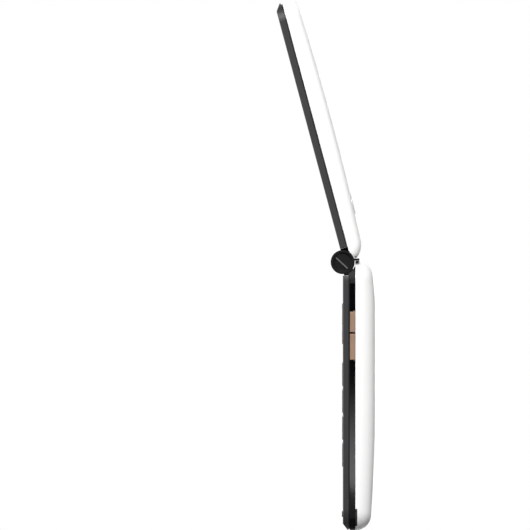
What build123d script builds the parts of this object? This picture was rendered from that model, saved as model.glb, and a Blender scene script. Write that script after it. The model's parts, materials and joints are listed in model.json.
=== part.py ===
from build123d import *
import math
import os

os.makedirs("parts", exist_ok=True)

# Flip phone, lid open. X is the width, +Y runs towards the hinge and the lid, +Z is out of the keypad.
# The origin is the middle of the flat on the back, on which the phone lies.

# Overall form
phone_width = 53.0
base_length = 98.0
base_depth = 11.7
lid_length = 97.8
lid_depth = 9.15
open_angle = 165.0
corner_radius = 7.2
back_edge_radius = 5.6
lid_corner_radius = 7.0
lid_edge_radius = 3.3
shell_wall = 1.2

# Hinge line
hinge_y = 38.0
barrel_radius = 4.4
barrel_end_inset = 1.0
barrel_gap = 0.25
knuckle_gap = 0.15
outer_knuckle = 8.5
base_face_drop = 0.05
lid_face_drop = 0.35
base_hinge_overrun = 0.5
lid_hinge_start = 0.3

# Layers of the keypad half, from the keypad face down
front_frame_depth = 2.05
groove_height = 0.5
groove_inset = 0.5
band_height = 2.0
front_plate = 1.1
dome_thickness = 0.25
mat_thickness = 0.8
board_thickness = 0.8
deck_thickness = 0.8
layer_gap = 0.05
seat_gap = 0.01

# Crown of the back: a flat, with a long curve to each end
flat_start = 17.8
flat_end = 51.8
crown_foot = 1.8
crown_hinge = 1.7

# Chamfer on the foot of the keypad face and on the tip of the lid
foot_chamfer_depth = 1.9
foot_chamfer_length = 2.5

hinge_z = base_depth + base_face_drop
half_width = phone_width / 2
barrel_width = phone_width - 2 * barrel_end_inset
foot_y = hinge_y - base_length
groove_top = base_depth - front_frame_depth
band_top = groove_top - groove_height
parting_z = band_top - band_height
lid_tilt = math.radians(180.0 - open_angle)
lid_cos = math.cos(lid_tilt)
lid_sin = math.sin(lid_tilt)
barrel_clear = barrel_radius + barrel_gap


# Planes: the lid's own plane, its side plane, and the hinge axis
lid_plane = Plane(
    origin=(0, hinge_y, hinge_z), x_dir=(1, 0, 0), z_dir=(0, -lid_sin, lid_cos)
)
lid_side = Plane(
    origin=(0, hinge_y, hinge_z), x_dir=(0, lid_cos, lid_sin), z_dir=(1, 0, 0)
)


def axis_plane(x):
    """Plane square to the hinge axis at a place x along it, with Y and Z as its own axes."""
    return Plane(origin=(x, hinge_y, hinge_z), x_dir=(0, 1, 0), z_dir=(1, 0, 0))


def axis_disc(start, end, radius, bore=0.0):
    """Round bar, or a tube with a bore, on the hinge axis from one place to another."""
    with BuildPart() as disc:
        with BuildSketch(axis_plane(start)):
            Circle(radius)
            if bore > 0:
                Circle(bore, mode=Mode.SUBTRACT)
        extrude(amount=end - start)
    return disc.part


def save(builder, name):
    """Label a finished piece and write it."""
    builder.part.label = name
    export_step(builder.part, f"parts/{name}.step")


def below(distance):
    """Y of a point on the keypad half, from its distance below the hinge axis."""
    return hinge_y - distance


# Form of the keypad half: side profile crossed with the plan, with the back edge rounded.
# A wall of the given inset thins it all round.
def base_form(inset, edge_radius):
    near = hinge_y + base_hinge_overrun - inset
    far = foot_y + inset
    with BuildPart() as form:
        with BuildSketch(Plane.YZ):
            with BuildLine():
                flat = Line((below(flat_start), inset), (below(flat_end), inset))
                foot = TangentArc(flat @ 1, (far, crown_foot + inset), tangent=flat % 1)
                neck = TangentArc(flat @ 0, (near, crown_hinge + inset), tangent=(1, 0))
                Polyline(foot @ 1, (far, base_depth), (near, base_depth), neck @ 1)
            make_face()
        extrude(amount=half_width - inset, both=True)
        upright = form.edges().filter_by(Axis.Z)
        fillet(upright, corner_radius - inset)
        seam_front = below(flat_start) + shell_wall
        seam_back = below(flat_end) - shell_wall
        rim = form.edges().filter_by(
            lambda e: e.center().Z < base_depth / 2
            and not (e.length > half_width and seam_back < e.center().Y < seam_front
                     and e.bounding_box().size.Y < shell_wall)
        )
        fillet(rim, edge_radius)
    return form.part


# Form of the lid in its own plane: inner face, crowned back, rounded nose at the hinge
lid_nose_length = 5.6
lid_nose_drop = 2.85
lid_crown_ends = 1.1
lid_heel_radius = 3.0


def lid_form(inset, edge_radius):
    near = lid_hinge_start + inset
    far = lid_length - inset
    face = -lid_face_drop
    back = face - lid_depth + lid_crown_ends + inset
    peak = face - lid_depth + inset
    shoulder = lid_hinge_start + lid_nose_length
    nose_z = back + lid_nose_drop
    with BuildPart() as form:
        with BuildSketch(lid_side):
            with BuildLine():
                crown = ThreePointArc((shoulder, back), ((shoulder + far) / 2, peak), (far, back))
                nose = TangentArc(crown @ 0, (near, nose_z), tangent=(crown % 0) * -1)
                Polyline(crown @ 1, (far, face), (near, face), nose @ 1)
            make_face()
        extrude(amount=half_width - inset, both=True)
        tip = form.edges().filter_by(
            lambda e: lid_plane.to_local_coords(e.center()).Y > far - layer_gap
            and e.bounding_box().size.X < shell_wall
        )
        fillet(tip, lid_corner_radius - inset)
        rim = form.edges().filter_by(
            lambda e: lid_plane.to_local_coords(e.center()).Z < -lid_depth / 2
            and not (e.length > phone_width - shell_wall * 3 and abs(e.center().X) < shell_wall
                     and lid_plane.to_local_coords(e.center()).Y < half_width)
        )
        fillet(rim, edge_radius)
        with BuildSketch(lid_plane):
            with Locations((0, (near + far) / 2)):
                Rectangle(phone_width - 2 * inset, far - near)
            heel = vertices().group_by(Axis.Y)[0]
            fillet(heel, lid_heel_radius - inset / 2)
        extrude(amount=-lid_depth * 2, mode=Mode.INTERSECT)
    return form.part



base_outer = base_form(0, back_edge_radius)
base_inner = base_form(shell_wall, back_edge_radius - shell_wall)
lid_outer = lid_form(0, lid_edge_radius)
lid_inner = lid_form(shell_wall, lid_edge_radius - shell_wall)
base_mid_y = (hinge_y + base_hinge_overrun + foot_y) / 2
base_plan_length = base_length + base_hinge_overrun


def base_plan(inset):
    """Plan outline of the keypad half, drawn in the sketch that is open."""
    with Locations((0, base_mid_y)):
        RectangleRounded(
            phone_width - 2 * inset, base_plan_length - 2 * inset, corner_radius - inset
        )


# Levels inside the keypad half
deck_top = parting_z + deck_thickness
board_z = deck_top + layer_gap
board_top = board_z + board_thickness
dome_top = board_top + dome_thickness
mat_top = dome_top + mat_thickness
plate_under = base_depth - front_plate

# Battery and its well
battery_side_room = 8.5
battery_foot_room = 20.0
battery_thickness = 5.2
battery_start = 28.0
battery_width = phone_width - 2 * battery_side_room
battery_length = base_length - battery_start - battery_foot_room
battery_clearance = 0.3
well_wall = 1.0
well_depth = 3.6
battery_y = below(battery_start + battery_length / 2)
battery_top = parting_z - layer_gap

# Locating lip of the chassis inside the back cover
lip_height = 0.9
lip_wall = 0.8
lip_clearance = 0.1

# Chassis end under the barrel, and the black web that carries each outer knuckle
chassis_start = 1.6
web_reach = 4.9
web_top = 11.3
frame_start = 5.0

# Screws of the keypad half
screw_side = 5.5
screw_near = 11.5
screw_foot = 8.0
screw_x = half_width - screw_side
screw_far = base_length - screw_foot
boss_radius = 2.1
boss_height = 3.8
screw_head_radius = 1.5
screw_head_height = 0.8
screw_radius = 0.75
screw_clearance = 0.1
base_screw_places = [
    (side * screw_x, below(distance)) for side in (-1, 1) for distance in (screw_near, screw_far)
]

# Charging socket in the foot
usb_width = 7.6
usb_height = 2.6
usb_depth = 5.4
usb_sheet = 0.3
usb_clearance = 0.15
usb_z = 8.15
usb_setback = 0.6
usb_y = foot_y + usb_setback + usb_depth / 2

# Loudspeaker and vibration motor, under windows in the deck
speaker_width = 15.0
speaker_length = 11.0
speaker_thickness = 5.2
speaker_side = 17.5
speaker_distance = 16.0
motor_radius = 4.0
motor_thickness = 2.8
motor_side = 13.0
motor_distance = 20.0
window_clearance = 0.3
speaker_x = speaker_side - half_width
motor_x = half_width - motor_side

# SIM socket past the battery, and battery contacts through the head of the well
sim_width = 13.0
sim_length = 12.0
sim_thickness = 1.6
sim_side = 15.0
sim_foot = 11.5
sim_x = sim_side - half_width
sim_distance = base_length - sim_foot
contact_width = 10.0
contact_length = 3.0
contact_thickness = 2.6
contact_y = below(battery_start - battery_clearance - contact_length / 2)

# Side keys on the right edge band
side_key_upper_start = 18.1
side_key_upper_end = 25.6
side_key_lower_start = 26.2
side_key_lower_end = 35.7
side_key_clearance = 0.1
side_key_proud = 0.25
side_key_flange = 0.5
side_key_split = 0.2
side_key_round = 0.2
board_inset = 2.9
switch_depth = 1.5
switch_length = 3.5
notch_clearance = 0.2
board_start = frame_start + shell_wall + notch_clearance
board_edge_x = half_width - board_inset
switch_edge_x = board_edge_x + notch_clearance - switch_depth
side_key_spans = {
    "side_key_upper": (side_key_upper_start, side_key_upper_end),
    "side_key_lower": (side_key_lower_start, side_key_lower_end),
}
chassis_lining = 0.3
side_wall_inset = shell_wall + chassis_lining
side_wall_x = half_width - side_wall_inset

# Pry notch low on the right side, and sound slots near the hinge
notch_foot = 7.9
notch_start = base_length - notch_foot
notch_length = 6.3
notch_height = 0.72
notch_depth = 1.25
slot_count = 5
slot_pitch = 2.2
slot_width = 0.9
slot_length = 9.0

# Back cover: white tub with a crowned back
notch_floor = base_form(notch_depth, back_edge_radius - notch_depth)
with BuildPart() as notch:
    with BuildSketch(Plane.XY.offset(parting_z - notch_height)):
        with Locations((half_width - corner_radius / 2, below(notch_start + notch_length / 2))):
            Rectangle(corner_radius * 2, notch_length)
    extrude(amount=notch_height * 2)
    add(notch_floor, mode=Mode.SUBTRACT)
notch_cut = notch.part

with BuildPart() as back_cover:
    add(base_outer)
    add(base_inner, mode=Mode.SUBTRACT)
    split(bisect_by=Plane.XY.offset(parting_z - layer_gap), keep=Keep.BOTTOM)
    add(notch_cut, mode=Mode.SUBTRACT)
    with BuildSketch(Plane.XY):
        with Locations((speaker_x, below(speaker_distance))):
            with GridLocations(slot_pitch, slot_length, slot_count, 1):
                SlotCenterToCenter(slot_length - slot_width, slot_width, rotation=90)
    extrude(amount=parting_z / 2, mode=Mode.SUBTRACT)
    with BuildSketch(Plane.XZ.offset(-foot_y)):
        with Locations((0, usb_z)):
            Rectangle(usb_width + 2 * usb_clearance, usb_height + 2 * usb_clearance)
    extrude(amount=-shell_wall * 2, mode=Mode.SUBTRACT)

# Chassis: middle frame with the gloss edge band, the battery well and the outer knuckles
knuckle_in = barrel_width / 2 - outer_knuckle
cap_thickness = 1.2
cap_spigot = 1.4
cap_spigot_radius = 3.4
knuckle_out = barrel_width / 2 - cap_thickness
cam_radius = 2.6
cam_clearance = 0.05
pin_radius = 1.2
pin_clearance = 0.05

with BuildPart() as chassis:
    with BuildSketch(Plane.XY.offset(parting_z)):
        base_plan(0)
    extrude(amount=band_height)
    with BuildSketch(Plane.XY.offset(band_top)):
        base_plan(groove_inset)
    extrude(amount=groove_height - seat_gap)
    # Tray above the deck
    with BuildSketch(Plane.XY.offset(deck_top)):
        base_plan(side_wall_inset)
        with Locations((0, below(0))):
            Rectangle(phone_width, (frame_start + shell_wall) * 2, mode=Mode.SUBTRACT)
    extrude(amount=base_depth, mode=Mode.SUBTRACT)
    # Locating lip, battery well and screw bosses below the deck
    with BuildSketch(Plane.XY.offset(parting_z - lip_height)):
        base_plan(shell_wall + lip_clearance)
        base_plan_inner = shell_wall + lip_clearance + lip_wall
        with Locations((0, base_mid_y)):
            RectangleRounded(
                phone_width - 2 * base_plan_inner, base_plan_length - 2 * base_plan_inner,
                corner_radius - base_plan_inner, mode=Mode.SUBTRACT
            )
    extrude(amount=lip_height)
    with BuildSketch(Plane.XY.offset(parting_z - well_depth)):
        with Locations((0, battery_y)):
            Rectangle(
                battery_width + 2 * (battery_clearance + well_wall),
                battery_length + 2 * (battery_clearance + well_wall)
            )
            Rectangle(
                battery_width + 2 * battery_clearance, battery_length + 2 * battery_clearance,
                mode=Mode.SUBTRACT
            )
    extrude(amount=well_depth)
    with BuildSketch(Plane.XY.offset(parting_z - boss_height)):
        with Locations(*base_screw_places):
            Circle(boss_radius)
    extrude(amount=boss_height)
    # Room for the barrel
    with BuildSketch(Plane.XY):
        with Locations((0, hinge_y)):
            Rectangle(phone_width, chassis_start * 2)
    extrude(amount=base_depth, mode=Mode.SUBTRACT)
    with BuildSketch(axis_plane(-half_width)):
        Circle(barrel_clear)
    extrude(amount=phone_width, mode=Mode.SUBTRACT)
    # Outer knuckles on their webs
    for start in (-knuckle_out, knuckle_in):
        with BuildSketch(axis_plane(start)):
            Circle(barrel_radius)
            with Locations((-(web_reach + chassis_start) / 2, (web_top + deck_top) / 2 - hinge_z)):
                Rectangle(web_reach - chassis_start, web_top - deck_top)
        extrude(amount=knuckle_out - knuckle_in)
    with BuildSketch(axis_plane(-barrel_width / 2)):
        Circle(cam_radius + cam_clearance)
    extrude(amount=outer_knuckle, mode=Mode.SUBTRACT)
    with BuildSketch(axis_plane(knuckle_in)):
        Circle(pin_radius)
    extrude(amount=outer_knuckle, mode=Mode.SUBTRACT)
    # Seats of the end caps
    for start in (-knuckle_out, knuckle_out - cap_spigot - layer_gap):
        with BuildSketch(axis_plane(start)):
            Circle(cap_spigot_radius)
        extrude(amount=cap_spigot + layer_gap, mode=Mode.SUBTRACT)
    # Windows in the deck
    with BuildSketch(Plane.XY.offset(parting_z)):
        with Locations((speaker_x, below(speaker_distance))):
            Rectangle(speaker_width + 2 * window_clearance, speaker_length + 2 * window_clearance)
        with Locations((motor_x, below(motor_distance))):
            Circle(motor_radius + window_clearance)
        with Locations((0, usb_y)):
            Rectangle(usb_width + 2 * window_clearance, usb_depth + 2 * window_clearance)
        with Locations((0, contact_y)):
            Rectangle(contact_width + 2 * window_clearance, contact_length + 2 * window_clearance)
    extrude(amount=deck_thickness, mode=Mode.SUBTRACT)
    # Openings in the edge band: the side keys on the right and the socket in the foot
    for start, end in side_key_spans.values():
        with BuildSketch(Plane.YZ.offset(side_wall_x - side_key_proud)):
            with Locations((below((start + end) / 2), (parting_z + band_top) / 2)):
                Rectangle(end - start + 2 * layer_gap, band_height)
        extrude(amount=phone_width, mode=Mode.SUBTRACT)
    with BuildSketch(Plane.XY.offset(parting_z)):
        with Locations((side_wall_x, below((side_key_upper_start + side_key_lower_end) / 2))):
            Rectangle(
                (side_wall_x - switch_edge_x) * 2,
                side_key_lower_end - side_key_upper_start + 2 * well_wall
            )
    extrude(amount=deck_thickness, mode=Mode.SUBTRACT)
    with BuildSketch(Plane.XZ.offset(-foot_y)):
        with Locations((0, usb_z)):
            Rectangle(usb_width + 2 * usb_clearance, usb_height + 2 * usb_clearance)
    extrude(amount=-shell_wall * 2, mode=Mode.SUBTRACT)
    with BuildSketch(Plane.XY.offset(parting_z - contact_thickness)):
        with Locations((0, below(battery_start - battery_clearance - well_wall / 2))):
            Rectangle(contact_width + 2 * window_clearance, well_wall * 2)
    extrude(amount=contact_thickness, mode=Mode.SUBTRACT)
    # Screw holes, counterbored from the back
    with BuildSketch(Plane.XY.offset(parting_z - boss_height)):
        with Locations(*base_screw_places):
            Circle(screw_head_radius + screw_clearance)
    extrude(amount=screw_head_height + layer_gap, mode=Mode.SUBTRACT)
    with BuildSketch(Plane.XY.offset(parting_z - boss_height)):
        with Locations(*base_screw_places):
            Circle(screw_radius + screw_clearance)
    extrude(amount=base_depth, mode=Mode.SUBTRACT)

# Keypad: an arrow ring with a centre key, four keys at its corners, and twelve number keys
key_proud = 0.25
key_travel = 0.25
key_gap = 0.15
key_flange = 0.4
key_flange_rim = 0.4
key_crown_radius = 0.35
keypad_side = 3.4
keypad_start = 36.1
keypad_foot = 22.7
key_land = 1.0
number_pitch_x = (phone_width - 2 * keypad_side) / 3
number_pitch_y = (base_length - keypad_foot - keypad_start) / 4
number_width = number_pitch_x - key_land
number_height = number_pitch_y - key_land
number_radius = 2.4
number_start = keypad_start + number_pitch_y / 2
nav_distance = 22.5
nav_side = 18.0
nav_width = phone_width - 2 * nav_side
nav_height = 15.0
nav_radius = 5.5
ok_radius = 3.6
corner_key_width = 11.6
corner_key_height = 7.0
corner_key_radius = 2.0
corner_key_side = 10.1
corner_key_x = half_width - corner_key_side
corner_key_pitch = 8.0
number_names = [
    ["key_1", "key_2", "key_3"],
    ["key_4", "key_5", "key_6"],
    ["key_7", "key_8", "key_9"],
    ["key_star", "key_0", "key_hash"],
]
key_bottom = mat_top + key_travel + layer_gap
key_top = base_depth + key_proud

key_places = {}
for row, names in enumerate(number_names):
    for column, key_name in enumerate(names):
        key_places[key_name] = (
            (column - 1) * number_pitch_x, below(number_start + row * number_pitch_y),
            number_width, number_height, number_radius
        )
for key_name, side, row in (
    ("soft_key_left", -1, 1), ("soft_key_right", 1, 1), ("call_key", -1, -1), ("end_key", 1, -1)
):
    key_places[key_name] = (
        side * corner_key_x, below(nav_distance) + row * corner_key_pitch / 2,
        corner_key_width, corner_key_height, corner_key_radius
    )

# Front frame: dark keypad-side moulding with its chamfered foot
mat_start = 14.2
mat_foot = 21.0
mat_end = base_length - mat_foot
mat_inset = 3.4
post_radius = 1.8
frame_edge_round = 0.3
mic_hole_radius = 0.5
mic_foot = 10.0
mic_distance = base_length - mic_foot
bumper_radius = 0.9
bumper_proud = 0.35
bumper_pocket = 0.4
bumper_round = 0.42
bumper_side = 7.5
bumper_foot = 5.7
bumper_x = half_width - bumper_side
bumper_distance = base_length - bumper_foot
bumper_places = [(side * bumper_x, below(bumper_distance)) for side in (-1, 1)]

with BuildPart() as front_frame:
    with BuildSketch(Plane.YZ):
        with BuildLine():
            Polyline(
                (below(frame_start), groove_top),
                (below(frame_start), base_depth),
                (foot_y + foot_chamfer_length, base_depth),
                (foot_y, base_depth - foot_chamfer_depth),
                (foot_y, groove_top),
                close=True
            )
        make_face()
    extrude(amount=half_width, both=True)
    with BuildSketch(Plane.XY.offset(groove_top)):
        base_plan(0)
    extrude(amount=front_frame_depth, mode=Mode.INTERSECT)
    sides = front_frame.edges().filter_by(Axis.Y).group_by(Axis.Z)[-1]
    chamfer(sides, frame_edge_round)
    with BuildSketch(Plane.XY.offset(groove_top)):
        base_plan(shell_wall + groove_inset)
        with Locations((0, below(0))):
            Rectangle(phone_width, (frame_start + shell_wall) * 2, mode=Mode.SUBTRACT)
        with Locations((0, foot_y)):
            Rectangle(phone_width, (foot_chamfer_length + shell_wall) * 2, mode=Mode.SUBTRACT)
    extrude(amount=plate_under - groove_top, mode=Mode.SUBTRACT)
    # Screw posts down to the board
    with BuildSketch(Plane.XY.offset(board_top)):
        with Locations(*base_screw_places):
            Circle(post_radius)
    extrude(amount=plate_under - board_top)
    with BuildSketch(Plane.XY.offset(board_top)):
        with Locations(*base_screw_places):
            Circle(screw_radius)
    extrude(amount=plate_under - board_top, mode=Mode.SUBTRACT)
    # Key openings and the microphone hole
    with BuildSketch(Plane.XY.offset(plate_under)):
        for x, y, width, height, radius in key_places.values():
            with Locations((x, y)):
                RectangleRounded(width + 2 * key_gap, height + 2 * key_gap, radius + key_gap)
        with Locations((0, below(nav_distance))):
            RectangleRounded(nav_width + 2 * key_gap, nav_height + 2 * key_gap, nav_radius + key_gap)
        with Locations((0, below(mic_distance))):
            Circle(mic_hole_radius)
    extrude(amount=front_plate, mode=Mode.SUBTRACT)
    # Pockets of the rubber buffers
    with BuildSketch(Plane.XY.offset(base_depth - bumper_pocket)):
        with Locations(*bumper_places):
            Circle(bumper_radius + layer_gap)
    extrude(amount=bumper_pocket, mode=Mode.SUBTRACT)

# Rubber buffers that hold the closed lid off the keypad face
with BuildPart() as base_bumpers:
    with BuildSketch(Plane.XY.offset(base_depth - bumper_pocket)):
        with Locations(*bumper_places):
            Circle(bumper_radius)
    extrude(amount=bumper_pocket + bumper_proud)
    fillet(base_bumpers.edges().group_by(Axis.Z)[-1], bumper_round)

# Number keys and corner keys: a rounded cap on a wider flange that the front plate keeps in
keys = {}
for key_name, (x, y, width, height, radius) in key_places.items():
    with BuildPart() as key:
        with BuildSketch(Plane.XY.offset(key_bottom)):
            with Locations((x, y)):
                RectangleRounded(
                    width + 2 * key_flange_rim, height + 2 * key_flange_rim, radius + key_flange_rim
                )
        extrude(amount=key_flange)
        with BuildSketch(Plane.XY.offset(key_bottom)):
            with Locations((x, y)):
                RectangleRounded(width, height, radius)
        extrude(amount=key_top - key_bottom)
        fillet(key.edges().group_by(Axis.Z)[-1], key_crown_radius)
    keys[key_name] = key

# Arrow ring, with a counterbore that keeps the centre key in
ok_gap = 0.15
ok_flange_radius = 4.1
ok_flange_gap = 0.3
ok_flange = 0.4
ring_relief = 0.8

with BuildPart() as nav_ring:
    with BuildSketch(Plane.XY.offset(key_bottom)):
        with Locations((0, below(nav_distance))):
            RectangleRounded(
                nav_width + 2 * key_flange_rim, nav_height + 2 * key_flange_rim,
                nav_radius + key_flange_rim
            )
    extrude(amount=key_flange)
    with BuildSketch(Plane.XY.offset(key_bottom)):
        with Locations((0, below(nav_distance))):
            RectangleRounded(nav_width, nav_height, nav_radius)
    extrude(amount=key_top - key_bottom)
    fillet(nav_ring.edges().group_by(Axis.Z)[-1], key_crown_radius)
    with BuildSketch(Plane.XY.offset(key_bottom)):
        with Locations((0, below(nav_distance))):
            Circle(ok_radius + ok_gap)
    extrude(amount=key_top, mode=Mode.SUBTRACT)
    with BuildSketch(Plane.XY.offset(key_bottom)):
        with Locations((0, below(nav_distance))):
            Circle(ok_flange_radius + ok_flange_gap)
    extrude(amount=ring_relief, mode=Mode.SUBTRACT)
keys["nav_ring"] = nav_ring

with BuildPart() as ok_key:
    with BuildSketch(Plane.XY.offset(key_bottom)):
        with Locations((0, below(nav_distance))):
            Circle(ok_flange_radius)
    extrude(amount=ok_flange)
    with BuildSketch(Plane.XY.offset(key_bottom)):
        with Locations((0, below(nav_distance))):
            Circle(ok_radius)
    extrude(amount=key_top - key_bottom)
    fillet(ok_key.edges().group_by(Axis.Z)[-1], key_crown_radius)
keys["ok_key"] = ok_key

# Side keys: a copper cap through the edge band, with a flange behind the wall
side_key_length = side_key_proud + side_wall_inset
side_keys = {}
for key_name, (start, end) in side_key_spans.items():
    if key_name == "side_key_upper":
        flange_ends = (start - side_key_flange, end + side_key_split)
    else:
        flange_ends = (start - side_key_split, end + side_key_flange)
    with BuildPart() as side_key:
        with BuildSketch(Plane.YZ.offset(side_wall_x - side_key_clearance)):
            with Locations((below((start + end) / 2), (parting_z + band_top) / 2)):
                Rectangle(end - start, band_height - 2 * layer_gap)
        extrude(amount=side_key_length + side_key_clearance)
        fillet(side_key.edges().group_by(Axis.X)[-1], side_key_round)
        with BuildSketch(Plane.YZ.offset(side_wall_x - side_key_clearance)):
            with Locations((below(sum(flange_ends) / 2), (parting_z + band_top) / 2)):
                Rectangle(flange_ends[1] - flange_ends[0], band_height - 2 * layer_gap)
        extrude(amount=-side_key_flange)
    side_keys[key_name] = side_key

# Side switches on the edge of the board, behind the side keys
with BuildPart() as side_switches:
    for start, end in side_key_spans.values():
        with BuildSketch(Plane.YZ.offset(switch_edge_x)):
            with Locations((below((start + end) / 2), (parting_z + board_top) / 2)):
                Rectangle(switch_length, board_top - parting_z - 2 * layer_gap)
        extrude(amount=switch_depth)

# Small parts of the keypad half
board_hole_radius = 0.95
mat_round = 1.5
dome_inset = 0.5
contact_pitch = 3.0
contact_count = 3
contact_blade = 0.8
sim_sheet = 0.3
sim_card = 0.9
sim_rail = 0.6
shield_foot = 12.0
shield_distance = base_length - shield_foot
shield_width = 15.0
shield_length = 9.0
shield_height = 1.4
shield_round = 0.8
shield_sheet = 0.2
usb_round = 0.9
usb_tongue_width = 5.0
usb_tongue_height = 0.6
usb_tongue_setback = 1.0
speaker_round = 2.0
speaker_rim = 1.0
speaker_recess = 0.4
motor_round = 0.4
mic_length = 4.0
mic_width = 3.0
mic_height = 1.6
shield_to_mic = 2.0
shield_x = -(mic_length / 2 + shield_to_mic + shield_width / 2)
antenna_side = 15.0
antenna_foot = 4.2
antenna_x = half_width - antenna_side
antenna_distance = base_length - antenna_foot
antenna_length = 12.0
antenna_width = 3.0
antenna_height = 2.4
antenna_round = 0.6
screw_end_gap = 0.5
screw_drive_radius = 0.7
screw_drive_sides = 6

# Circuit board, lying on the deck

with BuildPart() as circuit_board:
    with BuildSketch(Plane.XY.offset(board_z)):
        base_plan(board_inset)
        with Locations((0, below(0))):
            Rectangle(phone_width, board_start * 2, mode=Mode.SUBTRACT)
        with Locations(*base_screw_places):
            Circle(board_hole_radius, mode=Mode.SUBTRACT)
        with Locations((0, usb_y)):
            Rectangle(
                usb_width + 2 * notch_clearance, usb_depth + 2 * notch_clearance, mode=Mode.SUBTRACT
            )
        for start, end in side_key_spans.values():
            with Locations((board_edge_x, below((start + end) / 2))):
                Rectangle(
                    (board_edge_x - switch_edge_x) * 2, switch_length + 2 * notch_clearance,
                    mode=Mode.SUBTRACT
                )
    extrude(amount=board_thickness)

# Dome sheet and rubber key mat
with BuildPart() as dome_sheet:
    with BuildSketch(Plane.XY.offset(board_top)):
        with Locations((0, below((mat_start + mat_end) / 2))):
            RectangleRounded(
                phone_width - 2 * (mat_inset + dome_inset), mat_end - mat_start - 2 * dome_inset,
                mat_round - dome_inset
            )
    extrude(amount=dome_thickness)

with BuildPart() as key_mat:
    with BuildSketch(Plane.XY.offset(dome_top)):
        with Locations((0, below((mat_start + mat_end) / 2))):
            RectangleRounded(phone_width - 2 * mat_inset, mat_end - mat_start, mat_round)
    extrude(amount=mat_thickness)

# Battery pack
battery_edge_round = 0.8
with BuildPart() as battery:
    with BuildSketch(Plane.XY.offset(battery_top - battery_thickness)):
        with Locations((0, battery_y)):
            Rectangle(battery_width, battery_length)
    extrude(amount=battery_thickness)
    fillet(battery.edges().filter_by(Axis.Y), battery_edge_round)

# Spring contacts that reach the battery's head through the deck
with BuildPart() as battery_contacts:
    with BuildSketch(Plane.XY.offset(board_z - contact_thickness)):
        with Locations((0, contact_y)):
            Rectangle(contact_width, contact_length)
    extrude(amount=contact_thickness)
    with BuildSketch(Plane.XZ.offset(-(contact_y - contact_length / 2))):
        with GridLocations(contact_pitch, 1, contact_count, 1):
            with Locations((0, board_z - contact_thickness / 2)):
                Rectangle(contact_blade, contact_thickness - 2 * notch_clearance)
    extrude(amount=battery_clearance)

# SIM socket under the foot end of the deck, with its card slot
with BuildPart() as sim_socket:
    with BuildSketch(Plane.XY.offset(parting_z - sim_thickness)):
        with Locations((sim_x, below(sim_distance))):
            Rectangle(sim_width, sim_length)
    extrude(amount=sim_thickness)
    with BuildSketch(Plane.XY.offset(parting_z - sim_thickness + sim_sheet)):
        with Locations((sim_x, below(sim_distance) + sim_sheet)):
            Rectangle(sim_width - 2 * sim_rail, sim_length)
    extrude(amount=sim_card, mode=Mode.SUBTRACT)

# Pressed screening can on the board
with BuildPart() as shield_can:
    with BuildSketch(Plane.XY.offset(board_top)):
        with Locations((shield_x, below(shield_distance))):
            RectangleRounded(shield_width, shield_length, shield_round)
    extrude(amount=shield_height)
    fillet(shield_can.edges().group_by(Axis.Z)[-1], shield_sheet)
    with BuildSketch(Plane.XY.offset(board_top)):
        with Locations((shield_x, below(shield_distance))):
            RectangleRounded(
                shield_width - 2 * shield_sheet, shield_length - 2 * shield_sheet,
                shield_round - shield_sheet
            )
    extrude(amount=shield_height - shield_sheet, mode=Mode.SUBTRACT)

# Charging socket, sunk into the foot edge of the board
with BuildPart() as usb_socket:
    with BuildSketch(Plane.XZ.offset(-(usb_y - usb_depth / 2))):
        with Locations((0, usb_z)):
            RectangleRounded(usb_width, usb_height, usb_round)
    extrude(amount=-usb_depth)
    with BuildSketch(Plane.XZ.offset(-(usb_y - usb_depth / 2))):
        with Locations((0, usb_z)):
            RectangleRounded(
                usb_width - 2 * usb_sheet, usb_height - 2 * usb_sheet, usb_round - usb_sheet
            )
    extrude(amount=-(usb_depth - usb_sheet), mode=Mode.SUBTRACT)
    with BuildSketch(Plane.XZ.offset(-(usb_y + usb_depth / 2))):
        with Locations((0, usb_z)):
            Rectangle(usb_tongue_width, usb_tongue_height)
    extrude(amount=usb_depth - usb_tongue_setback)

# Loudspeaker, its back against the board
with BuildPart() as loudspeaker:
    with BuildSketch(Plane.XY.offset(board_z - speaker_thickness)):
        with Locations((speaker_x, below(speaker_distance))):
            RectangleRounded(speaker_width, speaker_length, speaker_round)
    extrude(amount=speaker_thickness)
    with BuildSketch(Plane.XY.offset(board_z - speaker_thickness)):
        with Locations((speaker_x, below(speaker_distance))):
            RectangleRounded(
                speaker_width - 2 * speaker_rim, speaker_length - 2 * speaker_rim,
                speaker_round - speaker_rim
            )
    extrude(amount=speaker_recess, mode=Mode.SUBTRACT)

# Coin vibration motor
with BuildPart() as vibration_motor:
    with BuildSketch(Plane.XY.offset(board_z - motor_thickness)):
        with Locations((motor_x, below(motor_distance))):
            Circle(motor_radius)
    extrude(amount=motor_thickness)
    fillet(vibration_motor.edges().group_by(Axis.Z)[0], motor_round)

# Microphone under its hole in the front frame
with BuildPart() as microphone:
    with BuildSketch(Plane.XY.offset(board_top)):
        with Locations((0, below(mic_distance))):
            Rectangle(mic_length, mic_width)
    extrude(amount=mic_height)
    with BuildSketch(Plane.XY.offset(board_top + mic_height / 2)):
        with Locations((0, below(mic_distance))):
            Circle(mic_hole_radius)
    extrude(amount=mic_height, mode=Mode.SUBTRACT)

# Antenna carrier in the foot
with BuildPart() as antenna:
    with BuildSketch(Plane.XY.offset(parting_z - antenna_height)):
        with Locations((antenna_x, below(antenna_distance))):
            Rectangle(antenna_length, antenna_width)
    extrude(amount=antenna_height)
    chamfer(antenna.edges().filter_by(Axis.X).group_by(Axis.Z)[0], antenna_round)

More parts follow.
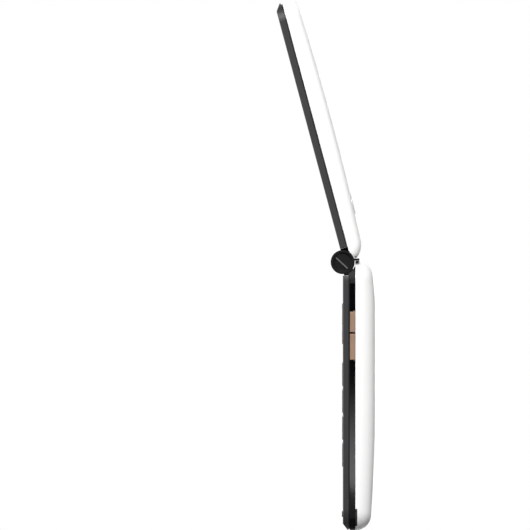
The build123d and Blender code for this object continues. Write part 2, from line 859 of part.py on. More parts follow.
# Screws of the keypad half, heads to the back
with BuildPart() as base_screws:
    head_z = parting_z - boss_height + layer_gap
    with BuildSketch(Plane.XY.offset(head_z)):
        with Locations(*base_screw_places):
            Circle(screw_head_radius)
    extrude(amount=screw_head_height)
    with BuildSketch(Plane.XY.offset(head_z)):
        with Locations(*base_screw_places):
            Circle(screw_radius)
    extrude(amount=plate_under - head_z - screw_end_gap)
    with BuildSketch(Plane.XY.offset(head_z)):
        with Locations(*base_screw_places):
            RegularPolygon(screw_drive_radius, screw_drive_sides)
    extrude(amount=screw_head_height / 2, mode=Mode.SUBTRACT)

# End caps of the barrel: a disc with a ring-shaped rim, and a slanted step across its recess
cap_rim_radius = 3.65
cap_recess_radius = 2.95
cap_recess_depth = 0.45
cap_step_offset = 0.75
cap_step_depth = 0.5
cap_step_angle = 43.0
cap_bar_width = 0.28
cap_bar_height = 0.2

hinge_caps = {}
for cap_name, side in (("hinge_cap_left", -1), ("hinge_cap_right", 1)):
    face_x = side * barrel_width / 2
    step_plane = Plane(origin=(face_x, hinge_y, hinge_z), x_dir=(0, 1, 0), z_dir=(side, 0, 0))
    with BuildPart() as cap:
        with BuildSketch(step_plane):
            Circle(barrel_radius)
        extrude(amount=-cap_thickness)
        with BuildSketch(step_plane.offset(-cap_thickness)):
            Circle(cap_spigot_radius - layer_gap)
        extrude(amount=-cap_spigot)
        with BuildSketch(step_plane.offset(-cap_recess_depth)):
            Circle(cap_recess_radius)
        with BuildSketch(step_plane):
            Circle(cap_rim_radius)
        loft(mode=Mode.SUBTRACT)
        # The step: the part of the recess past a chord lies deeper, with a thin bar along the chord
        with BuildSketch(step_plane.offset(-cap_recess_depth)):
            Circle(cap_recess_radius)
            with Locations(Location((0, 0), 180.0 - cap_step_angle)):
                with Locations((cap_step_offset - cap_recess_radius * 2, 0)):
                    Rectangle(cap_recess_radius * 4, cap_recess_radius * 4, mode=Mode.SUBTRACT)
        extrude(amount=-cap_step_depth, mode=Mode.SUBTRACT)
        with BuildSketch(step_plane.offset(-cap_recess_depth)):
            Circle(cap_recess_radius)
            with Locations(Location((0, 0), 180.0 - cap_step_angle)):
                with Locations((cap_step_offset - cap_bar_width / 2, 0)):
                    Rectangle(cap_bar_width, cap_recess_radius * 4, mode=Mode.INTERSECT)
        extrude(amount=cap_bar_height)
    hinge_caps[cap_name] = cap

# Black strip behind the barrel, fixed under the outer knuckles
spine_start = base_hinge_overrun + layer_gap
spine_end = 1.35
spine_bottom = 5.65
spine_top = 7.15
spine_width = barrel_width

with BuildPart() as hinge_spine:
    with BuildSketch(Plane.XY.offset(spine_bottom)):
        with Locations((0, hinge_y + (spine_start + spine_end) / 2)):
            Rectangle(spine_width, spine_end - spine_start)
    extrude(amount=spine_top - spine_bottom)
    for side in (-1, 1):
        with BuildSketch(Plane.XY.offset(spine_bottom)):
            with Locations((side * (knuckle_in + knuckle_out) / 2,
                            hinge_y + (spine_start + spine_end) / 2)):
                Rectangle(knuckle_out - knuckle_in, spine_end - spine_start)
        extrude(amount=hinge_z - spine_bottom)
    with BuildSketch(axis_plane(-half_width)):
        Circle(barrel_radius)
    extrude(amount=phone_width, mode=Mode.SUBTRACT)

# Hinge inside the barrel: a sprung cartridge in the lid's knuckle, its cam in the left outer
# knuckle, and a plain pin on the right
center_knuckle = knuckle_in - knuckle_gap
cartridge_radius = 2.8
cartridge_wall = 0.4
cartridge_length = 15.0
shaft_radius = 1.1
shaft_end_gap = 1.0
cam_length = outer_knuckle - cap_thickness - cap_spigot - pin_clearance * 2
pin_bite = cam_length
pin_reach = 7.0
cartridge_start = -center_knuckle

with BuildPart() as hinge_cartridge:
    add(axis_disc(cartridge_start, cartridge_start + cartridge_length, cartridge_radius))
    add(
        axis_disc(
            cartridge_start + cartridge_wall * 2, cartridge_start + cartridge_length,
            cartridge_radius - cartridge_wall
        ),
        mode=Mode.SUBTRACT
    )
    add(
        axis_disc(
            cartridge_start, cartridge_start + cartridge_wall * 2, shaft_radius + pin_clearance
        ),
        mode=Mode.SUBTRACT
    )

with BuildPart() as hinge_cam:
    add(axis_disc(-knuckle_in - cam_length, -knuckle_in, cam_radius))
    add(axis_disc(-knuckle_in, cartridge_start + cartridge_length - shaft_end_gap, shaft_radius))

with BuildPart() as hinge_pin:
    add(axis_disc(knuckle_in - pin_reach, knuckle_in + pin_bite, pin_radius))
    chamfer(hinge_pin.edges().filter_by(GeomType.CIRCLE), cam_clearance * 3)

# Lid layers, measured from the hinge axis square to the lid; the inner face is uppermost
lid_frame_depth = 2.2
lid_groove = 0.65
lid_plate = 1.5
lid_frame_start = 4.9
lens_side = 5.0
lens_tip = 18.8
lens_thickness = 0.75
lens_round = 2.0
lens_start = 13.0
lens_gap = 0.1
lens_width = phone_width - 2 * lens_side
lens_length = lid_length - lens_start - lens_tip
view_side = 2.5
view_end = 7.5
view_width = lens_width - 2 * view_side
view_length = lens_length - 2 * view_end
panel_side = 1.0
panel_end = 5.0
panel_width = lens_width - 2 * panel_side
panel_length = lens_length - 2 * panel_end
panel_thickness = 1.7
slot_tip = 9.3
slot_distance = lid_length - slot_tip
ear_slot_length = 9.0
ear_slot_width = 1.3
ear_width = 6.0
ear_length = 12.0
ear_thickness = 2.2
tip_chamfer_depth = 2.2
tip_chamfer_length = 3.2
lid_face = -lid_face_drop
lid_groove_top = lid_face - lid_frame_depth
lid_parting = lid_groove_top - lid_groove
lid_plate_under = lid_face - lid_plate
lens_mid = lens_start + lens_length / 2
panel_under = lid_plate_under - layer_gap - panel_thickness
lid_board_thickness = 0.6
lid_board_side = 5.5
lid_board_start = 15.5
lid_board_tip = 14.3
lid_board_width = phone_width - 2 * lid_board_side
lid_board_length = lid_length - lid_board_start - lid_board_tip
lid_board_under = panel_under - layer_gap - lid_board_thickness


def lid_slab(upper, lower, inset, start):
    """Slab of the lid's plan between two levels, square at its start and rounded at the tip."""
    end = lid_length - inset
    with BuildPart() as slab:
        with BuildSketch(lid_plane.offset(upper)):
            with Locations((0, (start + end) / 2)):
                Rectangle(phone_width - 2 * inset, end - start)
            fillet(vertices().group_by(Axis.Y)[-1], lid_corner_radius - inset)
        extrude(amount=lower - upper)
    return slab.part


def lid_block(x, s, upper, lower, width, length, radius):
    """Rounded block in the lid between two levels."""
    with BuildPart() as block:
        with BuildSketch(lid_plane.offset(upper)):
            with Locations((x, s)):
                RectangleRounded(width, length, radius)
        extrude(amount=lower - upper)
    return block.part


# Lid screws, under plugs in the corners of the frame
lid_screw_side = 6.0
lid_screw_near = 9.0
lid_screw_tip = 7.3
lid_screw_x = half_width - lid_screw_side
lid_screw_far = lid_length - lid_screw_tip
lid_post_radius = 1.9
lid_screw_head = 1.3
lid_screw_head_height = 0.6
plug_thickness = 0.4
lid_screw_places = [
    (side * lid_screw_x, distance) for side in (-1, 1) for distance in (lid_screw_near, lid_screw_far)
]
lid_screw_seat = lid_face - plug_thickness - layer_gap - lid_screw_head_height
lid_post_length = 3.4
lid_post_end = lid_plate_under - lid_post_length

# Lid frame: dark screen-side moulding, with the lens recess and the chamfered tip
frame_body = lid_slab(lid_face, lid_groove_top, 0, lid_frame_start)
frame_lip = lid_slab(lid_groove_top, lid_parting + layer_gap, groove_inset, lid_frame_start)
frame_hollow = lid_slab(
    lid_plate_under, lid_parting, shell_wall + groove_inset, lid_frame_start + shell_wall
)

with BuildPart() as lid_frame:
    add(frame_body)
    edge = lid_frame.edges().filter_by(
        lambda e: lid_plane.to_local_coords(e.center()).Z > lid_face - layer_gap
        and e.length > lens_length and abs(e.center().X) > half_width / 2
    )
    chamfer(edge, frame_edge_round)
    with BuildSketch(lid_side):
        with BuildLine():
            Polyline(
                (lid_length - tip_chamfer_length, lid_face),
                (lid_length, lid_face - tip_chamfer_depth),
                (lid_length + tip_chamfer_length, lid_face - tip_chamfer_depth),
                (lid_length + tip_chamfer_length, 0),
                (lid_length - tip_chamfer_length, 0),
                close=True
            )
        make_face()
    extrude(amount=phone_width, both=True, mode=Mode.SUBTRACT)
    add(frame_lip)
    add(frame_hollow, mode=Mode.SUBTRACT)
    # Lens recess, window, earpiece slot
    with BuildSketch(lid_plane):
        with Locations((0, lens_mid)):
            RectangleRounded(
                lens_width + 2 * lens_gap, lens_length + 2 * lens_gap, lens_round + lens_gap
            )
    extrude(amount=lid_face - lens_gap - lens_thickness - layer_gap, mode=Mode.SUBTRACT)
    with BuildSketch(lid_plane):
        with Locations((0, lens_mid)):
            Rectangle(view_width, view_length)
        with Locations((0, slot_distance)):
            SlotOverall(ear_slot_length, ear_slot_width)
    extrude(amount=lid_plate_under, mode=Mode.SUBTRACT)
    # Screw posts
    with BuildSketch(lid_plane.offset(lid_plate_under)):
        with Locations(*lid_screw_places):
            Circle(lid_post_radius)
    extrude(amount=lid_post_end - lid_plate_under)
    with BuildSketch(lid_plane):
        with Locations(*lid_screw_places):
            Circle(lid_screw_head + screw_clearance)
    extrude(amount=lid_screw_seat, mode=Mode.SUBTRACT)
    with BuildSketch(lid_plane):
        with Locations(*lid_screw_places):
            Circle(screw_radius + screw_clearance)
    extrude(amount=lid_post_end, mode=Mode.SUBTRACT)

# Hinge arm: middle knuckle with its root plate, inside the lid
arm_side = 11.5
arm_half_width = half_width - arm_side
arm_start = 3.0
arm_end = 14.0
arm_top = lid_groove_top - lid_groove
arm_thickness = 1.6

with BuildPart() as lid_hinge_arm:
    with BuildSketch(axis_plane(-center_knuckle)):
        Circle(barrel_radius)
    extrude(amount=2 * center_knuckle)
    with BuildSketch(lid_plane.offset(arm_top)):
        with Locations((0, (arm_start + arm_end) / 2)):
            Rectangle(2 * arm_half_width, arm_end - arm_start)
    extrude(amount=-arm_thickness)
    # Root of the knuckle, which fills the heel of the frame
    with BuildSketch(lid_plane.offset(lid_face - layer_gap)):
        with Locations((0, (arm_start + lid_frame_start - layer_gap) / 2)):
            Rectangle(2 * center_knuckle, lid_frame_start - layer_gap - arm_start)
    extrude(amount=arm_top - lid_face + layer_gap)
    with BuildSketch(axis_plane(cartridge_start)):
        Circle(cartridge_radius)
    extrude(amount=cartridge_length, mode=Mode.SUBTRACT)
    with BuildSketch(axis_plane(center_knuckle)):
        Circle(pin_radius + pin_clearance)
    extrude(amount=-(pin_reach + shaft_end_gap), mode=Mode.SUBTRACT)

# Lid cover: white outer shell with the outer lens window and the camera hole
outer_lens_width = 26.0
outer_lens_length = 19.0
outer_lens_round = 2.0
outer_lens_mid = 42.0
outer_lens_depth = 0.75
outer_lens_ledge = 1.5
outer_display_thickness = 1.4
camera_s = 20.0
camera_size = 7.5
camera_round = 0.8
camera_lens_radius = 2.85
camera_ring_radius = 4.2
camera_ring_bore = 2.95
camera_hole_radius = 2.2
camera_ring_proud = 0.3
camera_ring_depth = 0.8
camera_glass_drop = 0.2
boss_bite = 1.9
lid_peak = lid_face - lid_depth
camera_skin = lid_peak + lid_crown_ends / 2
lens_floor = lid_peak + outer_lens_depth + layer_gap

with BuildPart() as cover_bosses:
    with BuildSketch(lid_plane.offset(lid_post_end - layer_gap)):
        with Locations(*lid_screw_places):
            Circle(lid_post_radius)
    extrude(amount=-lid_depth)
    add(lid_outer, mode=Mode.INTERSECT)

with BuildPart() as lid_cover:
    add(lid_outer)
    add(lid_inner, mode=Mode.SUBTRACT)
    split(bisect_by=lid_plane.offset(lid_parting), keep=Keep.BOTTOM)
    with BuildSketch(axis_plane(-half_width)):
        Circle(barrel_clear)
    extrude(amount=phone_width, mode=Mode.SUBTRACT)
    # Screw bosses up to the frame's posts
    add(cover_bosses.part)
    with BuildSketch(lid_plane.offset(lid_post_end)):
        with Locations(*lid_screw_places):
            Circle(screw_radius)
    extrude(amount=-boss_bite, mode=Mode.SUBTRACT)
    # Outer lens recess and window
    with BuildSketch(lid_plane.offset(lens_floor)):
        with Locations((0, outer_lens_mid)):
            RectangleRounded(
                outer_lens_width + 2 * lens_gap, outer_lens_length + 2 * lens_gap,
                outer_lens_round + lens_gap
            )
    extrude(amount=-lid_depth, mode=Mode.SUBTRACT)
    with BuildSketch(lid_plane.offset(lid_parting)):
        with Locations((0, outer_lens_mid)):
            Rectangle(
                outer_lens_width - 2 * outer_lens_ledge, outer_lens_length - 2 * outer_lens_ledge
            )
        with Locations((0, camera_s)):
            Circle(camera_hole_radius)
    extrude(amount=-lid_depth, mode=Mode.SUBTRACT)
    # Camera ring seat
    with BuildSketch(lid_plane.offset(camera_skin + camera_ring_depth + layer_gap)):
        with Locations((0, camera_s)):
            Circle(camera_ring_radius + layer_gap)
    extrude(amount=-lid_depth, mode=Mode.SUBTRACT)

with BuildPart() as outer_lens:
    add(lid_outer)
    with BuildSketch(lid_plane.offset(lens_floor - layer_gap)):
        with Locations((0, outer_lens_mid)):
            RectangleRounded(outer_lens_width, outer_lens_length, outer_lens_round)
    extrude(amount=-lid_depth, mode=Mode.INTERSECT)

with BuildPart() as camera_ring:
    with BuildSketch(lid_plane.offset(camera_skin + camera_ring_depth)):
        with Locations((0, camera_s)):
            Circle(camera_ring_radius)
    extrude(amount=-(camera_ring_depth + camera_ring_proud))
    outer_rim = camera_ring.edges().sort_by(
        lambda e: lid_plane.to_local_coords(e.center()).Z
    )[0]
    fillet(outer_rim, camera_glass_drop)
    with BuildSketch(lid_plane.offset(lid_parting)):
        with Locations((0, camera_s)):
            Circle(camera_ring_bore)
    extrude(amount=-2 * lid_depth, mode=Mode.SUBTRACT)

# Small parts of the lid
mesh_thickness = 0.3
mesh_drop = 0.4
panel_round = 0.5
camera_lens_thickness = 0.7
outer_display_gap = 0.3
camera_depth = 3.2


def write_block(name, x, s, upper, lower, width, length, radius):
    """Make a rounded block of the lid and write it."""
    with BuildPart() as block:
        add(lid_block(x, s, upper, lower, width, length, radius))
    save(block, name)


camera_top = lid_board_under - layer_gap
ring_floor = camera_skin + camera_ring_depth
lens_top = lid_face - lens_gap
display_floor = lid_peak + shell_wall + outer_display_gap

with BuildPart() as lid_screws:
    with BuildSketch(lid_plane.offset(lid_screw_seat)):
        with Locations(*lid_screw_places):
            Circle(lid_screw_head)
    extrude(amount=lid_screw_head_height)
    with BuildSketch(lid_plane.offset(lid_screw_seat)):
        with Locations(*lid_screw_places):
            Circle(screw_radius)
    extrude(amount=lid_post_end - boss_bite + screw_clearance - lid_screw_seat)
    with BuildSketch(lid_plane.offset(lid_screw_seat + lid_screw_head_height)):
        with Locations(*lid_screw_places):
            RegularPolygon(screw_drive_radius, screw_drive_sides)
    extrude(amount=-lid_screw_head_height / 2, mode=Mode.SUBTRACT)

with BuildPart() as screw_plugs:
    with BuildSketch(lid_plane.offset(lid_face - plug_thickness)):
        with Locations(*lid_screw_places):
            Circle(lid_screw_head + layer_gap)
    extrude(amount=plug_thickness)

with BuildPart() as earpiece_mesh:
    with BuildSketch(lid_plane.offset(lid_face - mesh_drop)):
        with Locations((0, slot_distance)):
            SlotOverall(ear_slot_length - lens_gap, ear_slot_width - lens_gap)
    extrude(amount=-mesh_thickness)

write_block(
    "display_lens", 0, lens_mid, lens_top, lens_top - lens_thickness,
    lens_width, lens_length, lens_round
)
write_block(
    "display_panel", 0, lens_mid, lid_plate_under - layer_gap, panel_under,
    panel_width, panel_length, panel_round
)
write_block(
    "lid_board", 0, lid_board_start + lid_board_length / 2, panel_under - layer_gap,
    lid_board_under, lid_board_width, lid_board_length, panel_round
)
write_block(
    "earpiece", 0, slot_distance, lid_plate_under - layer_gap,
    lid_plate_under - layer_gap - ear_thickness, ear_length, ear_width, camera_round
)
write_block(
    "outer_display", 0, outer_lens_mid, display_floor + outer_display_thickness, display_floor,
    outer_lens_width - outer_lens_ledge, outer_lens_length - outer_lens_ledge, panel_round
)
write_block(
    "camera_module", 0, camera_s, camera_top, camera_top - camera_depth,
    camera_size, camera_size, camera_round
)

with BuildPart() as camera_lens:
    with BuildSketch(lid_plane.offset(ring_floor)):
        with Locations((0, camera_s)):
            Circle(camera_lens_radius)
    extrude(amount=-camera_lens_thickness)

named = {
    "back_cover": back_cover, "chassis": chassis, "front_frame": front_frame,
    "base_bumpers": base_bumpers, "side_switches": side_switches, "circuit_board": circuit_board,
    "dome_sheet": dome_sheet, "key_mat": key_mat, "battery": battery,
    "battery_contacts": battery_contacts, "sim_socket": sim_socket, "shield_can": shield_can,
    "usb_socket": usb_socket, "loudspeaker": loudspeaker, "vibration_motor": vibration_motor,
    "microphone": microphone, "antenna": antenna, "base_screws": base_screws,
    "hinge_spine": hinge_spine, "hinge_cartridge": hinge_cartridge, "hinge_cam": hinge_cam,
    "hinge_pin": hinge_pin, "lid_frame": lid_frame, "lid_hinge_arm": lid_hinge_arm,
    "lid_cover": lid_cover, "outer_lens": outer_lens, "camera_ring": camera_ring,
    "camera_lens": camera_lens, "lid_screws": lid_screws, "screw_plugs": screw_plugs,
    "earpiece_mesh": earpiece_mesh,
}
for group in (named, keys, side_keys, hinge_caps):
    for name, builder in group.items():
        save(builder, name)
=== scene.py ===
import json
import math

import bpy
from mathutils import Matrix, Vector


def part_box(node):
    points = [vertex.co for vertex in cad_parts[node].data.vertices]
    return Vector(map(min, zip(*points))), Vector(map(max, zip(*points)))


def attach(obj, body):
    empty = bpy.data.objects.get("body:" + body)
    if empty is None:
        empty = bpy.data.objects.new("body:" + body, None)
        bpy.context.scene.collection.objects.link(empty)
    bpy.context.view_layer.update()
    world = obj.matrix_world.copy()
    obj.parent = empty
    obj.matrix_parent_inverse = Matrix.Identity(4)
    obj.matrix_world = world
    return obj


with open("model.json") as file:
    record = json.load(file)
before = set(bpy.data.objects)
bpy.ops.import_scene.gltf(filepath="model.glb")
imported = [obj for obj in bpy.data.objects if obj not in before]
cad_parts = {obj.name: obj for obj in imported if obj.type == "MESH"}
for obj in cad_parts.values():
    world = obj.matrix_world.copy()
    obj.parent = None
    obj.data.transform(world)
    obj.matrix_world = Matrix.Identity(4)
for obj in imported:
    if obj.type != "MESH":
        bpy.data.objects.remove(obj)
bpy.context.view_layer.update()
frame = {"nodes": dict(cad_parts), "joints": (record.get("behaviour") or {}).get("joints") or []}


# The camera looks straight at the right edge from far off, as the right-hand view of the
# photo does. The open phone lies on its back, and its hinge is up the picture.
MM = 0.001
PIXEL = 0.365 * MM
FRAME_PIXELS = 530
BARREL_PIXEL = (342.7, 262.1)
CAMERA_DISTANCE = 7.0
SENSOR_MM = 36.0

hinge = Vector(next(j for j in frame["joints"] if j["name"] == "lid_hinge")["pos_m"])
edge_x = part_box("back_cover")[1].x

camera_data = bpy.data.cameras.new("camera")
camera_data.sensor_width = SENSOR_MM
camera_data.lens = SENSOR_MM * CAMERA_DISTANCE / (FRAME_PIXELS * PIXEL)
camera = bpy.data.objects.new("camera", camera_data)
bpy.context.scene.collection.objects.link(camera)
camera.location = (edge_x + CAMERA_DISTANCE, hinge.y, hinge.z)
aim = Vector((
    edge_x,
    hinge.y - (FRAME_PIXELS / 2 - BARREL_PIXEL[1]) * PIXEL,
    hinge.z + (BARREL_PIXEL[0] - FRAME_PIXELS / 2) * PIXEL,
))
look = (aim - camera.location).normalized()
side = look.cross(Vector((0, 1, 0))).normalized()
camera.rotation_mode = "QUATERNION"
camera.rotation_quaternion = Matrix((side, side.cross(look), -look)).transposed().to_quaternion()
bpy.context.scene.camera = camera
bpy.context.scene.view_settings.view_transform = "Standard"


# The white surround is card all round, plain white to the eye. Black flags stand at its two
# sides and past the foot, so that reflections there are dark and the white shells get a grey
# outline.
WHITE = "#ffffff"
SURROUND_FILL = 0.16
FLAG_START = 0.45
FLAG_END = 0.75
FLAG_GLOW = 0.2
FOOT_FLAG_START = 0.25
FOOT_GLOW = 0.05


def linear(hex_colour):
    """sRGB hex colour as linear red, green, blue and alpha."""
    channels = [int(hex_colour[i:i + 2], 16) / 255 for i in (1, 3, 5)]
    return [c / 12.92 if c <= 0.04045 else ((c + 0.055) / 1.055) ** 2.4 for c in channels] + [1.0]


def add_node(tree, kind, settings=None, links=None):
    """Adds a shader node, sets its properties and sockets, and links its inputs."""
    node = tree.nodes.new(kind)
    for name, value in (settings or {}).items():
        if isinstance(name, str) and hasattr(node, name):
            setattr(node, name, value)
        else:
            node.inputs[name].default_value = value
    for name, source in (links or {}).items():
        tree.links.new(source, node.inputs[name])
    return node


world = bpy.data.worlds.new("white_surround")
world.use_nodes = True
bpy.context.scene.world = world
tree = world.node_tree
tree.nodes.clear()
ray = add_node(tree, "ShaderNodeLightPath")
seen = add_node(
    tree, "ShaderNodeMath", {"operation": "MAXIMUM"},
    {0: ray.outputs["Is Camera Ray"], 1: ray.outputs["Is Transmission Ray"]},
)
direction = add_node(tree, "ShaderNodeTexCoord")
split = add_node(tree, "ShaderNodeSeparateXYZ", links={0: direction.outputs["Generated"]})
endways = add_node(tree, "ShaderNodeMath", {"operation": "ABSOLUTE"}, {0: split.outputs["X"]})
flagged = add_node(
    tree, "ShaderNodeMapRange",
    {"From Min": FLAG_START, "From Max": FLAG_END, "To Min": 1.0, "To Max": FLAG_GLOW},
    {"Value": endways.outputs[0]},
)
foot_flag = add_node(
    tree, "ShaderNodeMapRange",
    {"From Min": -FLAG_END, "From Max": -FOOT_FLAG_START, "To Min": FOOT_GLOW, "To Max": 1.0},
    {"Value": split.outputs["Y"]},
)
darker = add_node(
    tree, "ShaderNodeMath", {"operation": "MINIMUM"},
    {0: flagged.outputs[0], 1: foot_flag.outputs[0]},
)
fill = add_node(tree, "ShaderNodeBackground", {"Color": linear(WHITE), "Strength": SURROUND_FILL})
mirror = add_node(
    tree, "ShaderNodeBackground", {"Color": linear(WHITE)}, {"Strength": darker.outputs[0]}
)
card = add_node(tree, "ShaderNodeBackground", {"Color": linear(WHITE), "Strength": 1.0})
indirect = add_node(
    tree, "ShaderNodeMixShader",
    links={0: ray.outputs["Is Glossy Ray"], 1: fill.outputs[0], 2: mirror.outputs[0]},
)
blend = add_node(
    tree, "ShaderNodeMixShader",
    links={0: seen.outputs[0], 1: indirect.outputs[0], 2: card.outputs[0]},
)
add_node(tree, "ShaderNodeOutputWorld", links={"Surface": blend.outputs[0]})


# The floor is a disc of matt white card on a light table. It keeps the phone's shadow, lets
# the side boxes through from below, and gives the back of the phone a little light.
FLOOR_RADIUS = 0.42
FLOOR_DROP = 0.02 * MM
FLOOR_FILL = 0.12
TABLE_GLOW = 0.35
FLOOR_CORNERS = 96


def new_material(name):
    """Material with an empty tree and its output node."""
    material = bpy.data.materials.new(name)
    material.use_nodes = True
    material.node_tree.nodes.clear()
    return material, material.node_tree, add_node(material.node_tree, "ShaderNodeOutputMaterial")


def mesh_piece(name, points, faces, material):
    """Mesh object from its points and faces, in one material."""
    mesh = bpy.data.meshes.new(name)
    mesh.from_pydata(points, [], faces)
    mesh.materials.append(material)
    piece = bpy.data.objects.new(name, mesh)
    bpy.context.scene.collection.objects.link(piece)
    return piece


matt_card, tree, output = new_material("matt_white_card")
ray = add_node(tree, "ShaderNodeLightPath")
paper = add_node(tree, "ShaderNodeBsdfDiffuse", {"Color": linear("#fbfbfb")})
glow = add_node(tree, "ShaderNodeEmission", {"Color": linear(WHITE), "Strength": TABLE_GLOW})
table = add_node(tree, "ShaderNodeAddShader", links={0: paper.outputs[0], 1: glow.outputs[0]})
lit = add_node(tree, "ShaderNodeEmission", {"Color": linear(WHITE), "Strength": FLOOR_FILL})
blend = add_node(
    tree, "ShaderNodeMixShader",
    links={0: ray.outputs["Is Diffuse Ray"], 1: table.outputs[0], 2: lit.outputs[0]},
)
tree.links.new(blend.outputs[0], output.inputs["Surface"])
rim = [
    (FLOOR_RADIUS * math.cos(2 * math.pi * i / FLOOR_CORNERS),
     FLOOR_RADIUS * math.sin(2 * math.pi * i / FLOOR_CORNERS), -FLOOR_DROP)
    for i in range(FLOOR_CORNERS)
]
floor = mesh_piece("floor", rim, [list(range(FLOOR_CORNERS))], matt_card)
floor.visible_shadow = False


# Soft boxes. Two large ones light the right and left edges of the phone from past the tip of
# the lid, so that the foot stays darker, and one hangs above. Each row gives a box's place and
# its width and height in metres, and its power in watts.
SOFT_BOXES = {
    "right_box": ((1.5, 1.0, 0.0), (1.0, 1.0), 41.0),
    "left_box": ((-1.5, 1.0, 0.0), (1.0, 1.0), 41.0),
    "top_box": ((0.0, 0.3, 1.9), (1.6, 1.6), 24.0),
}
for name, (place, size, power) in SOFT_BOXES.items():
    box_data = bpy.data.lights.new(name, "AREA")
    box_data.shape = "RECTANGLE"
    box_data.size, box_data.size_y = size
    box_data.energy = power
    soft_box = bpy.data.objects.new(name, box_data)
    bpy.context.scene.collection.objects.link(soft_box)
    soft_box.location = place
    soft_box.rotation_euler = (-Vector(place)).to_track_quat("-Z", "Y").to_euler()


# Reflector strips beside the phone. Only polished surfaces mirror them: each is bright at one
# end and fades along the phone, so that the black edge band shows a run of grey, cut off sharp.
STRIP_DISTANCE = 1.5
STRIP_HALF_WIDTH = 0.30
RIGHT_RUN_ROWS = (483.5, 372)
RIGHT_STRENGTH = 2.3
LEFT_RUN_ROWS = (394.5, 270)
LEFT_STRENGTH = 3.8
STRIP_LEAN = 0.5


def strip_cut(pixel_y):
    """Y of a strip's edge that the band mirrors at one row of the photo."""
    mirrored_y = hinge.y - (pixel_y - BARREL_PIXEL[1]) * PIXEL
    return mirrored_y + (mirrored_y - hinge.y) * STRIP_DISTANCE / CAMERA_DISTANCE


def reflector_strip(name, sign, run_rows, strength):
    """Glowing strip beside the phone, from its cut edge upwards, fading along its run."""
    cut_y, end_y = [strip_cut(row) for row in run_rows]
    fade = end_y - cut_y
    lean = sign * STRIP_LEAN
    material, tree, output = new_material(name + "_glow")
    place = add_node(tree, "ShaderNodeTexCoord")
    split = add_node(tree, "ShaderNodeSeparateXYZ", links={0: place.outputs["Object"]})
    ramp = add_node(
        tree, "ShaderNodeMapRange",
        {"From Min": 0.0, "From Max": fade, "To Min": strength, "To Max": 0.0,
         "interpolation_type": "SMOOTHSTEP"},
        {"Value": split.outputs["Y"]},
    )
    glow = add_node(
        tree, "ShaderNodeEmission", {"Color": linear(WHITE)}, {"Strength": ramp.outputs[0]}
    )
    tree.links.new(glow.outputs[0], output.inputs["Surface"])
    points = [
        (0, -lean * STRIP_HALF_WIDTH, -STRIP_HALF_WIDTH),
        (0, lean * STRIP_HALF_WIDTH, STRIP_HALF_WIDTH),
        (0, fade, STRIP_HALF_WIDTH),
        (0, fade, -STRIP_HALF_WIDTH),
    ]
    strip = mesh_piece(name, points, [(0, 1, 2, 3)], material)
    strip.location = (sign * STRIP_DISTANCE, cut_y, hinge.z)
    strip.visible_camera = False
    strip.visible_diffuse = False
    strip.visible_shadow = False
    strip.visible_transmission = False


reflector_strip("right_strip", 1, RIGHT_RUN_ROWS, RIGHT_STRENGTH)
reflector_strip("left_strip", -1, LEFT_RUN_ROWS, LEFT_STRENGTH)


# Back cover and lid cover. Each is one white ABS moulding with a high-gloss lacquer; the
# lacquer's faint orange peel shows as a slow ripple in reflections.
SHELL_WHITE = "#f4f4f3"
ORANGE_PEEL = 1.6 * MM
DRIFT_SIZE = 12 * MM


def finish(name, colour, roughness, grain, depth, shade=0.0, **settings):
    """Principled surface with relief of one grain size and a faint change of shade.

    Grain and depth are in metres. Settings go straight onto the shader's sockets.
    """
    material, tree, output = new_material(name)
    place = add_node(tree, "ShaderNodeTexCoord")
    relief = add_node(
        tree, "ShaderNodeTexNoise", {"Scale": 1 / grain, "Detail": 3.0},
        {"Vector": place.outputs["Object"]},
    )
    bump = add_node(
        tree, "ShaderNodeBump", {"Strength": 1.0, "Distance": depth}, {"Height": relief.outputs[0]}
    )
    drift = add_node(
        tree, "ShaderNodeTexNoise", {"Scale": 1 / DRIFT_SIZE, "Detail": 2.0},
        {"Vector": place.outputs["Object"]},
    )
    dark = [c * (1 - shade) for c in linear(colour)[:3]] + [1.0]
    tint = add_node(
        tree, "ShaderNodeMix", {"data_type": "RGBA", 6: dark, 7: linear(colour)},
        {0: drift.outputs[0]},
    )
    surface = add_node(
        tree, "ShaderNodeBsdfPrincipled",
        {"Roughness": roughness, **{k.replace("_", " "): v for k, v in settings.items()}},
        {"Base Color": tint.outputs[2], "Normal": bump.outputs[0]},
    )
    tree.links.new(surface.outputs[0], output.inputs["Surface"])
    return material


def dress(material, *node_names):
    """Puts one finish on CAD pieces."""
    for node_name in node_names:
        mesh = frame["nodes"][node_name].data
        mesh.materials.clear()
        mesh.materials.append(material)


white_lacquer = finish(
    "lacquered_white_abs", SHELL_WHITE, 0.10, ORANGE_PEEL, 0.0012 * MM, 0.01, IOR=1.5
)
dress(white_lacquer, "back_cover", "lid_cover")


# Frames of the two halves. Both are black PC-ABS mouldings with a satin dark grey paint,
# whose fine grain spreads the light. The step in the groove is painted black: painted shade.
FRAME_GREY = "#272729"
GROOVE_SHADE_BLACK = "#050505"
FRAME_SATIN = 0.40
PAINT_GRAIN = 0.18 * MM


